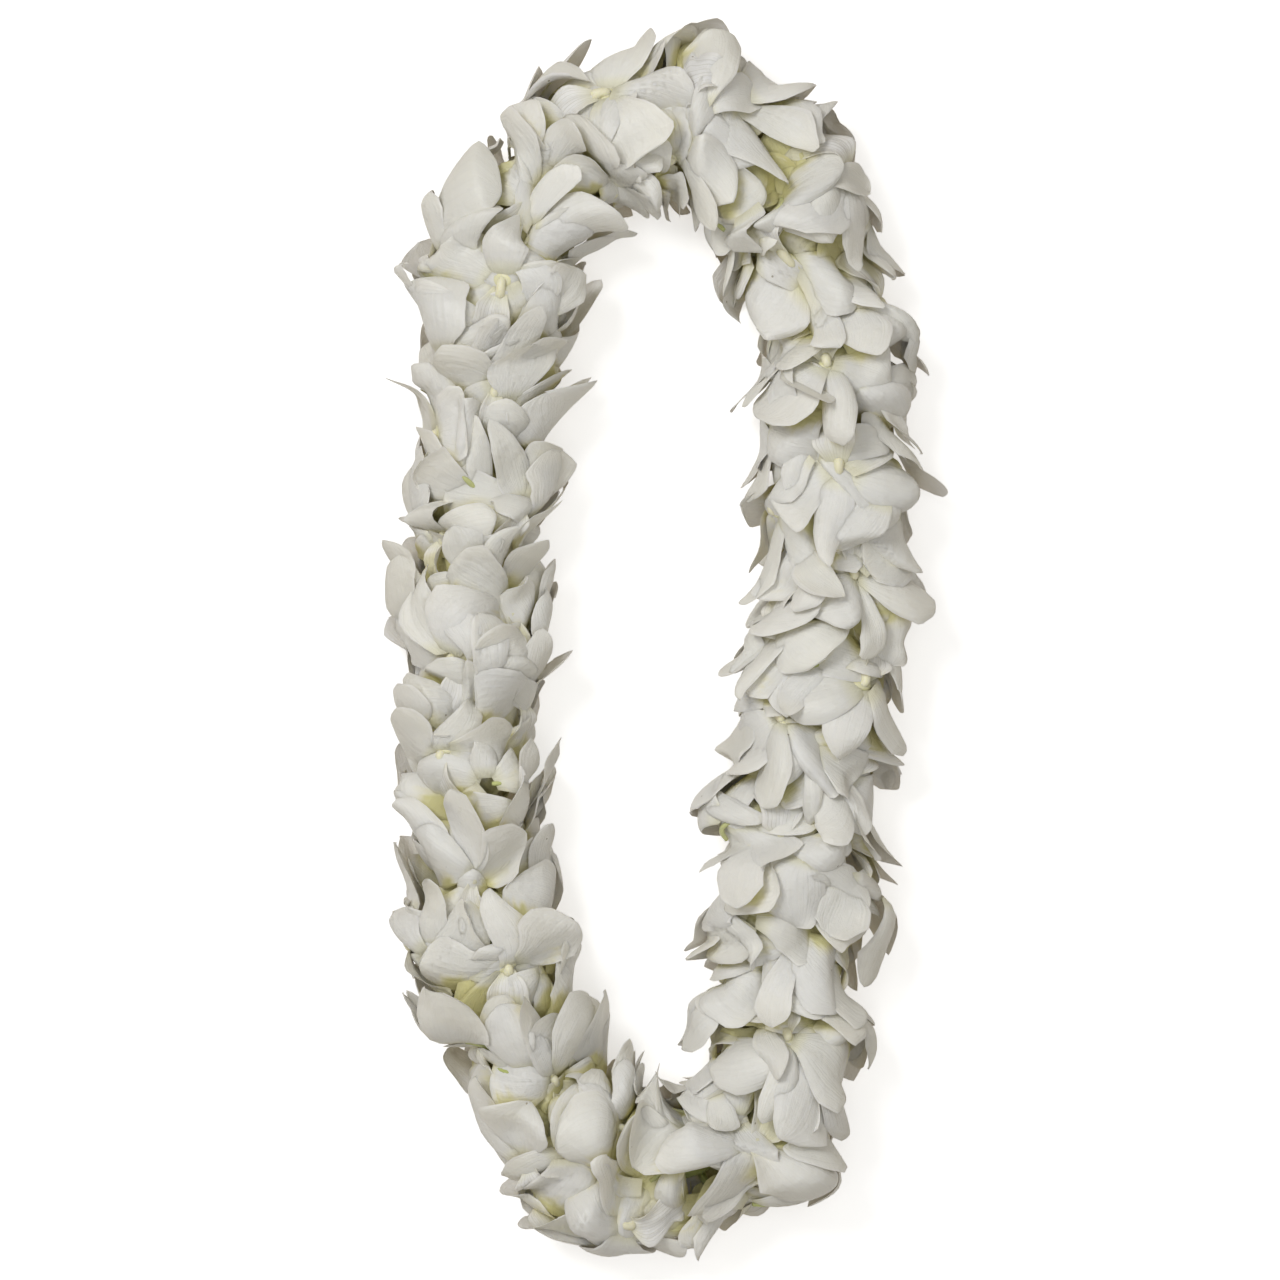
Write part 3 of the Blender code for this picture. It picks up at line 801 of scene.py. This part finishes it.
def node(tree, kind, inputs=None, **settings):
    made = tree.nodes.new(kind)
    for key, value in settings.items():
        setattr(made, key, value)
    for key, value in (inputs or {}).items():
        if isinstance(value, bpy.types.NodeSocket):
            tree.links.new(value, made.inputs[key])
        else:
            made.inputs[key].default_value = value
    return made


def attribute(tree, name):
    return node(tree, "ShaderNodeAttribute", attribute_name=name).outputs["Fac"]


def math_node(tree, operation, first, second=0.0, third=0.0):
    made = node(tree, "ShaderNodeMath", {0: first, 1: second, 2: third}, operation=operation)
    return made.outputs[0]


def times(tree, first, second):
    return math_node(tree, "MULTIPLY", first, second)


def ramp(tree, value, low, high, out_low=0.0, out_high=1.0):
    made = node(tree, "ShaderNodeMapRange", {0: value, 1: low, 2: high, 3: out_low, 4: out_high},
                interpolation_type="SMOOTHSTEP")
    return made.outputs[0]


def mix(tree, factor, first, second):
    made = node(tree, "ShaderNodeMix", {0: factor, 6: first, 7: second}, data_type="RGBA")
    return made.outputs[2]


# Colours of the petals, heart and thread.
PETAL_WHITE = (0.895, 0.885, 0.865, 1)
# The backs of the blades: their own creamier colour, made darker and warmer as painted shade too.
BACK_CREAM_AND_SHADE = (0.85, 0.83, 0.74, 1)
PETAL_RIM = (0.91, 0.89, 0.84, 1)
LIP_WHITE = (0.90, 0.88, 0.82, 1)
THROAT = (0.80, 0.76, 0.44, 1)
# Painted shade where petals lie deep under others: cream, then olive in the deepest gaps.
SHADE_CREAM = (0.84, 0.79, 0.56, 1)
SHADE_OLIVE = (0.67, 0.62, 0.27, 1)
VEIN = (0.55, 0.52, 0.43, 1)
SPECK = (0.22, 0.17, 0.09, 1)
STREAK_CREAM = (0.82, 0.80, 0.73, 1)
CLOUD_CREAM = (0.86, 0.84, 0.75, 1)
PALE_PETAL = (0.91, 0.90, 0.88, 1)
COLUMN_FOOT = (0.79, 0.76, 0.57, 1)
COLUMN_TIP = (0.86, 0.84, 0.74, 1)
NECK_TOP = (0.76, 0.73, 0.48, 1)
NECK_GREEN = (0.44, 0.49, 0.16, 1)
# Painted shadow under the anther cap: a dark band round its lower end.
CAP_SHADOW_BAND = (0.36, 0.30, 0.14, 1)
CAP_CREAM = (0.88, 0.86, 0.74, 1)
HEART_SPECK = (0.52, 0.54, 0.26, 1)
THREAD_DARK = (0.66, 0.63, 0.54, 1)
THREAD_PALE = (0.86, 0.84, 0.76, 1)

# Sizes of the patterns: streaks and veins are counted across and along a blade. The others have a scale, in
# turns a metre, and a noise then has its detail.
STREAKS = (13.0, 1.6)
STREAK_NOISE = (1.0, 3.0)
TINT_SHIFT = 37.0
VEIN_TURNS = 34.0
VEIN_WANDER = 5.0
CLOUDS = (70.0, 2.0)
CRUMPLES = (190.0, 3.0)
GRAIN = (1500.0, 1.0)
SPOT_SCALE = 110.0
HEART_SPECKS = (900.0, 2.0)
FIBRES = (3000.0, 3.0)

# Where a pattern starts to show and where it is full, and then how strong it is at both, if not 0 and 1. On
# petals some run over the lip's share, the margin's or the depth under other petals; those by depth are
# painted shade.
VEIN_LINE = (0.72, 1.0)
STREAK_SHOW = (0.35, 0.7, 0.0, 0.35)
CLOUD_SHOW = (0.4, 0.75, 0.0, 0.3)
PALE_SHOW = (0.0, 1.0, 0.0, 0.35)
VEIN_BY_LIP = (0.0, 1.0, 0.04, 0.45)
VEIN_OFF_RIM = (0.97, 0.75)
RIM_SHOW = (0.90, 1.0, 0.0, 0.7)
THROAT_REACH = (0.12, 0.13)
THROAT_FADE = (1.0, 0.1)
THROAT_SHARE = 0.6
# Painted shade by depth under other petals, less of it on the lip.
SHADE_BY_LIP = (0.0, 1.0, 0.9, 0.45)
SHADE_CREAM_BY_DEPTH = (0.0, 0.7)
SHADE_OLIVE_BY_DEPTH = (0.45, 1.0)
SPOT_EDGE = (0.07, 0.035)
SPOT_RARITY = (0.70, 0.72)
SPOT_SHARE = 0.7
ROUGH_BY_CLOUD = (0.3, 0.8, 0.42, 0.56)
FURROW_BY_LIP = (0.0, 1.0, -0.04, -0.05)
GRAIN_RELIEF = 0.10
CRUMPLE_RELIEF = 1.9
STREAK_RELIEF = 0.9
COLUMN_PALING = (0.1, 0.6)
NECK_GREENING = (0.2, 0.7)
# Where the painted shadow band at the cap's lower end fades out.
CAP_SHADOW_ALONG = (0.1, 0.3)
HEART_SPECK_SHOW = (0.5, 0.8, 0.0, 0.25)

# How each surface takes the light, and how strong and deep its relief is.
PETAL_SURFACE = {"Specular IOR Level": 0.38, "Subsurface Weight": 0.4, "Subsurface Scale": 0.003,
                 "Subsurface Radius": (1.0, 0.92, 0.75)}
HEART_SURFACE = {"Roughness": 0.45, "Subsurface Weight": 0.3, "Subsurface Scale": 0.002,
                 "Subsurface Radius": (1.0, 0.9, 0.4)}
THREAD_SURFACE = {"Roughness": 0.85}
PETAL_BUMP = (0.6, 0.6 * MM)
HEART_BUMP = (0.3, 0.3 * MM)
THREAD_BUMP = (0.5, 0.2 * MM)


def set_values(shader, values):
    for name, value in values.items():
        shader.inputs[name].default_value = value


def noise(tree, place_at, scale, detail):
    made = node(tree, "ShaderNodeTexNoise", {"Vector": place_at, "Scale": scale, "Detail": detail})
    return made.outputs[0]


def bump(tree, shader, height, strength, distance):
    made = node(tree, "ShaderNodeBump", {"Strength": strength, "Distance": distance, "Height": height})
    tree.links.new(made.outputs[0], shader.inputs["Normal"])


def streaks_and_veins(tree, along, across, tint):
    """Soft streaks along a blade, and the thin lines of its veins, which wander with them."""
    streaked = {0: times(tree, across, STREAKS[0]),
                1: times(tree, along, STREAKS[1]),
                2: times(tree, tint, TINT_SHIFT)}
    streak = noise(tree, node(tree, "ShaderNodeCombineXYZ", streaked).outputs[0], *STREAK_NOISE)
    wander = times(tree, math_node(tree, "SUBTRACT", streak, 0.5), VEIN_WANDER)
    phase = math_node(tree, "ADD", times(tree, across, VEIN_TURNS), wander)
    return streak, ramp(tree, math_node(tree, "SINE", phase), *VEIN_LINE)


def rare_spots(tree, place_at):
    """Small round spots, few and far between."""
    cell = node(tree, "ShaderNodeTexVoronoi", {"Vector": place_at, "Scale": SPOT_SCALE})
    return times(tree, ramp(tree, cell.outputs["Distance"], *SPOT_EDGE),
                 ramp(tree, cell.outputs["Color"], *SPOT_RARITY))


def petal_material():
    """Satin white petals: fine veins along the blade, a pale rim, a yellow-green root, creamier backs partly
    darkened as painted shade, and painted cream-to-olive shade where they lie deep under others.
    """
    material, tree = new_material("petal_white_living")
    shader = tree.nodes["Principled BSDF"]
    along, across, rim, lip, tint, back, shade_depth = (attribute(tree, name) for name in PAINTED)
    streak, line = streaks_and_veins(tree, along, across, tint)
    place_at = node(tree, "ShaderNodeTexCoord").outputs["Object"]
    cloud = noise(tree, place_at, *CLOUDS)
    grain = noise(tree, place_at, *GRAIN)
    crumple = noise(tree, place_at, *CRUMPLES)
    # Backs: their own creamier colour, and darker as painted warm shade.
    colour = mix(tree, lip, mix(tree, back, PETAL_WHITE, BACK_CREAM_AND_SHADE), LIP_WHITE)
    colour = mix(tree, ramp(tree, streak, *STREAK_SHOW), colour, STREAK_CREAM)
    colour = mix(tree, ramp(tree, cloud, *CLOUD_SHOW), colour, CLOUD_CREAM)
    colour = mix(tree, ramp(tree, tint, *PALE_SHOW), colour, PALE_PETAL)
    vein = times(tree, times(tree, line, ramp(tree, lip, *VEIN_BY_LIP)), ramp(tree, rim, *VEIN_OFF_RIM))
    colour = mix(tree, vein, colour, VEIN)
    colour = mix(tree, ramp(tree, rim, *RIM_SHOW), colour, PETAL_RIM)
    reach = math_node(tree, "MULTIPLY_ADD", lip, *THROAT_REACH)
    root = ramp(tree, math_node(tree, "DIVIDE", along, reach), *THROAT_FADE)
    colour = mix(tree, times(tree, root, THROAT_SHARE), colour, THROAT)
    # Painted shade: cream, then olive, where a place lies deep under other petals, less on lips.
    shade_share = ramp(tree, lip, *SHADE_BY_LIP)
    colour = mix(tree, times(tree, shade_share, ramp(tree, shade_depth, *SHADE_CREAM_BY_DEPTH)), colour, SHADE_CREAM)
    colour = mix(tree, times(tree, shade_share, ramp(tree, shade_depth, *SHADE_OLIVE_BY_DEPTH)), colour, SHADE_OLIVE)
    colour = mix(tree, times(tree, rare_spots(tree, place_at), SPOT_SHARE), colour, SPECK)
    tree.links.new(colour, shader.inputs["Base Color"])
    tree.links.new(ramp(tree, cloud, *ROUGH_BY_CLOUD), shader.inputs["Roughness"])
    set_values(shader, PETAL_SURFACE)
    furrow = times(tree, line, ramp(tree, lip, *FURROW_BY_LIP))
    relief = math_node(tree, "MULTIPLY_ADD", grain, GRAIN_RELIEF, furrow)
    relief = math_node(tree, "MULTIPLY_ADD", crumple, CRUMPLE_RELIEF, relief)
    relief = math_node(tree, "MULTIPLY_ADD", streak, STREAK_RELIEF, relief)
    bump(tree, shader, relief, *PETAL_BUMP)
    return material


def heart_material():
    """The column and its cap, cream to yellow with a painted shadow band at the cap's lower end, and the
    green-white neck.
    """
    material, tree = new_material("orchid_heart")
    shader = tree.nodes["Principled BSDF"]
    along = attribute(tree, "along")
    cap = attribute(tree, "lip")
    neck = attribute(tree, "back")
    place_at = node(tree, "ShaderNodeTexCoord").outputs["Object"]
    speckle = noise(tree, place_at, *HEART_SPECKS)
    column = mix(tree, ramp(tree, along, *COLUMN_PALING), COLUMN_FOOT, COLUMN_TIP)
    stem = mix(tree, ramp(tree, along, *NECK_GREENING), NECK_TOP, NECK_GREEN)
    colour = mix(tree, neck, column, stem)
    # Painted shadow: the cap's lower end darkened to brown.
    cap_colour = mix(tree, ramp(tree, along, *CAP_SHADOW_ALONG), CAP_SHADOW_BAND, CAP_CREAM)
    colour = mix(tree, cap, colour, cap_colour)
    colour = mix(tree, ramp(tree, speckle, *HEART_SPECK_SHOW), colour, HEART_SPECK)
    tree.links.new(colour, shader.inputs["Base Color"])
    set_values(shader, HEART_SURFACE)
    bump(tree, shader, speckle, *HEART_BUMP)
    return material


def thread_material():
    """Off-white cotton with fine fibres."""
    material, tree = new_material("cotton_thread")
    shader = tree.nodes["Principled BSDF"]
    place_at = node(tree, "ShaderNodeTexCoord").outputs["Object"]
    fibre = noise(tree, place_at, *FIBRES)
    colour = mix(tree, fibre, THREAD_DARK, THREAD_PALE)
    tree.links.new(colour, shader.inputs["Base Color"])
    set_values(shader, THREAD_SURFACE)
    bump(tree, shader, fibre, *THREAD_BUMP)
    return material


# The string's twisted plies, and the knot: two looped strands and two loose ends.
PLIES = 3
PLY_RADIUS = 0.52 * MM
PLY_OUT = 0.46 * MM
PLY_PITCH = 5 * MM
PLY_STEP = 0.7 * MM
PLY_SIDES = 6
LOOP_RADIUS = 0.6 * MM
LOOP_MM = (1.25, 0.25)
LOOP_RUN_MM = (0.9, 0.7)
LOOP_LOBES = 3
LOOP_SWAYS = 2
LOOP_STEPS = 48
END_RADIUS = 0.5 * MM
END_RUN_MM = (0.6, 1.2)
END_OUT_MM = (1.2, 9)
END_TURN = (2.4, 0.5, 0.5)
END_SWAY = 1.5
END_TIP = 1.02
END_TAPER = 8
END_STEPS = 24


def string_piece(material):
    """The twisted cotton string, and the knot that closes it."""
    shape = Shape()
    turns = round(LENGTH / PLY_PITCH)
    steps = int(LENGTH / PLY_STEP)
    s = np.arange(steps) / steps * LENGTH
    for ply in range(PLIES):
        angle = s / LENGTH * turns * math.tau + ply * math.tau / PLIES
        ring_tube(shape, place(s, PLY_OUT, angle), PLY_RADIUS, PLY_SIDES, True)
    knot_at = LENGTH - KNOT_SPACE / 2
    for strand in range(2):
        t = np.linspace(0, math.tau, LOOP_STEPS, endpoint=False)
        loop_r = (LOOP_MM[0] + LOOP_MM[1] * np.cos(LOOP_LOBES * t + strand * math.pi)) * MM
        sway = LOOP_RUN_MM[0] * np.sin(LOOP_SWAYS * t + strand * math.pi) + (strand - 0.5) * LOOP_RUN_MM[1]
        ring_tube(shape, place(knot_at + sway * MM, loop_r, t), LOOP_RADIUS, PLY_SIDES, True)
    for strand in (-1, 1):
        t = np.linspace(0, 1, END_STEPS)
        run = knot_at + strand * (END_RUN_MM[0] + END_RUN_MM[1] * np.sin(END_SWAY * t)) * MM
        out = (END_OUT_MM[0] + END_OUT_MM[1] * t) * MM
        turn = END_TURN[0] + strand * END_TURN[1] + END_TURN[2] * t
        radius = END_RADIUS * np.minimum(1, (END_TIP - t) * END_TAPER)
        ring_tube(shape, place(run, out, turn), radius, PLY_SIDES, False)
    piece = shape.make("string_twisted", material, "string")


# From each pair to the next: the way along the string, and the turn round it.
PITCH = (LENGTH - KNOT_SPACE) / PAIRS
QUARTER = math.pi / 2 + math.pi * HALF_TURNS_OF_DRIFT / PAIRS


def pair_shapes(k):
    """The petals and hearts of one pair of blooms, and of the crushed ones between it and the next pair."""
    draw = random.Random(SEED * SEED_STEP + k)
    detail = random.Random(SEED * SEED_STEP + DETAIL_STEP + k)
    azimuth = AZIMUTH_START + k * QUARTER + draw.uniform(-AZIMUTH_JITTER, AZIMUTH_JITTER)
    s = (k + 0.5) * PITCH
    petals = Shape()
    hearts = Shape()
    for turn in (0, math.pi):
        bloom = Bloom(s, azimuth + turn, draw)
        for name in TEPALS:
            bloom.blade(petals, name, detail)
        bloom.heart(hearts, detail)
    for layer, turn in itertools.product(LOOSE_LAYERS, (0, math.pi)):
        loose = Bloom(s + PITCH * layer, azimuth + QUARTER * layer + turn, detail)
        loose.size *= detail.uniform(*LOOSE_SIZE)
        loose.twist = detail.uniform(-LOOSE_TURN, LOOSE_TURN)
        for name in detail.sample(LOOSE_TEPALS, LOOSE_COUNT):
            loose.blade(petals, name, detail)
        if detail.random() < STALK_SHARE:
            loose.stalk(hearts, detail)
    half = (PITCH - BASE_GAP) / 2
    centres = place(s + np.linspace(-half, half, len(BASE_MM)), 0, 0)
    ring_tube(hearts, centres, np.array(BASE_MM) * MM, BASE_SIDES, False, along=BASE_GREEN, back=1.0)
    return petals, hearts


def build_lei():
    """Make the pieces of all pairs, with painted shade by how deep each place lies under the outermost
    petals.
    """
    petal_look = petal_material()
    heart_look = heart_material()
    pairs = [pair_shapes(k) for k in range(PAIRS)]
    cover = cover_radius(np.concatenate([spots for petals, _ in pairs for spots in petals.spots]))
    for number, (petals, hearts) in enumerate(pairs, start=1):
        spots = np.concatenate(petals.spots)
        # The depth under the outermost petals, which sets the painted shade.
        petals.values["shade_depth"] = [smooth_step(*SHADE_DEPTH_SPAN, cover[cover_cell(spots)] - spots[:, 1])]
        for piece in (petals.make(f"petals_{number:02d}", petal_look, f"bloom_pair_{number:02d}"),
                      hearts.make(f"heart_{number:02d}", heart_look, f"bloom_pair_{number:02d}")):
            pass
    string_piece(thread_material())


# The stage: a pale floor, soft light with the key from the upper left, and a long lens straight down.
PIXEL = 0.42 * MM
PHOTO_PIXELS = 1280
ORIGIN_PIXEL = (663.9, 643.9)
CAMERA_HEIGHT = 3.0
SENSOR_WIDTH = 36
SHARP_HEIGHT = 35 * MM
FLOOR_SIZE = 30.0
FLOOR_SURFACE = {"Base Color": (0.93, 0.93, 0.93, 1), "Roughness": 0.9, "Specular IOR Level": 0.1,
                 "Emission Color": (1.0, 1.0, 1.0, 1), "Emission Strength": 0.5}

# Lights: where each stands, its width, power and colour. The world is warm below and white above.
KEY_LIGHT = ((-1.2, 1.1, 2.4), 1.2, 37, (1.0, 1.0, 1.0))
FILL_LIGHT = ((0.3, -0.2, 2.8), 1.6, 12, (0.97, 0.98, 1.0))
WARM_BELOW = (0.52, 0.41, 0.23, 1)
WHITE_ABOVE = (1.0, 0.985, 0.95, 1)
SKY_STRENGTH = 0.45
HORIZON = (-0.2, 0.7)


def stage():
    bpy.ops.mesh.primitive_plane_add(size=FLOOR_SIZE, location=(0, 0, 0))
    floor = bpy.context.object
    floor.name = "floor"
    material, tree = new_material("pale_floor")
    set_values(tree.nodes["Principled BSDF"], FLOOR_SURFACE)
    floor.data.materials.append(material)
    floor.visible_diffuse = False


def area_light(name, place_at, size, power, colour):
    data = bpy.data.lights.new(name, "AREA")
    data.shape = "DISK"
    data.size = size
    data.energy = power
    data.color = colour
    light = bpy.data.objects.new(name, data)
    light.location = place_at
    light.rotation_euler = (-Vector(place_at)).to_track_quat("-Z", "Y").to_euler()
    bpy.context.scene.collection.objects.link(light)


def light_up():
    area_light("key", *KEY_LIGHT)
    area_light("fill", *FILL_LIGHT)
    world = bpy.data.worlds.new("studio")
    bpy.context.scene.world = world
    world.use_nodes = True
    tree = world.node_tree
    background = tree.nodes["Background"]
    direction = node(tree, "ShaderNodeTexCoord").outputs["Generated"]
    height = node(tree, "ShaderNodeSeparateXYZ", {0: direction}).outputs[2]
    shade = mix(tree, ramp(tree, height, *HORIZON), WARM_BELOW, WHITE_ABOVE)
    tree.links.new(shade, background.inputs[0])
    background.inputs[1].default_value = SKY_STRENGTH


def look():
    data = bpy.data.cameras.new("camera")
    data.sensor_width = SENSOR_WIDTH
    frame_width = PHOTO_PIXELS * PIXEL
    data.lens = data.sensor_width * (CAMERA_HEIGHT - SHARP_HEIGHT) / frame_width
    camera = bpy.data.objects.new("camera", data)
    middle = PHOTO_PIXELS / 2
    camera.location = ((middle - ORIGIN_PIXEL[0]) * PIXEL, (ORIGIN_PIXEL[1] - middle) * PIXEL, CAMERA_HEIGHT)
    bpy.context.scene.collection.objects.link(camera)
    bpy.context.scene.camera = camera
    bpy.context.scene.view_settings.view_transform = "Standard"


build_lei()
stage()
light_up()
look()
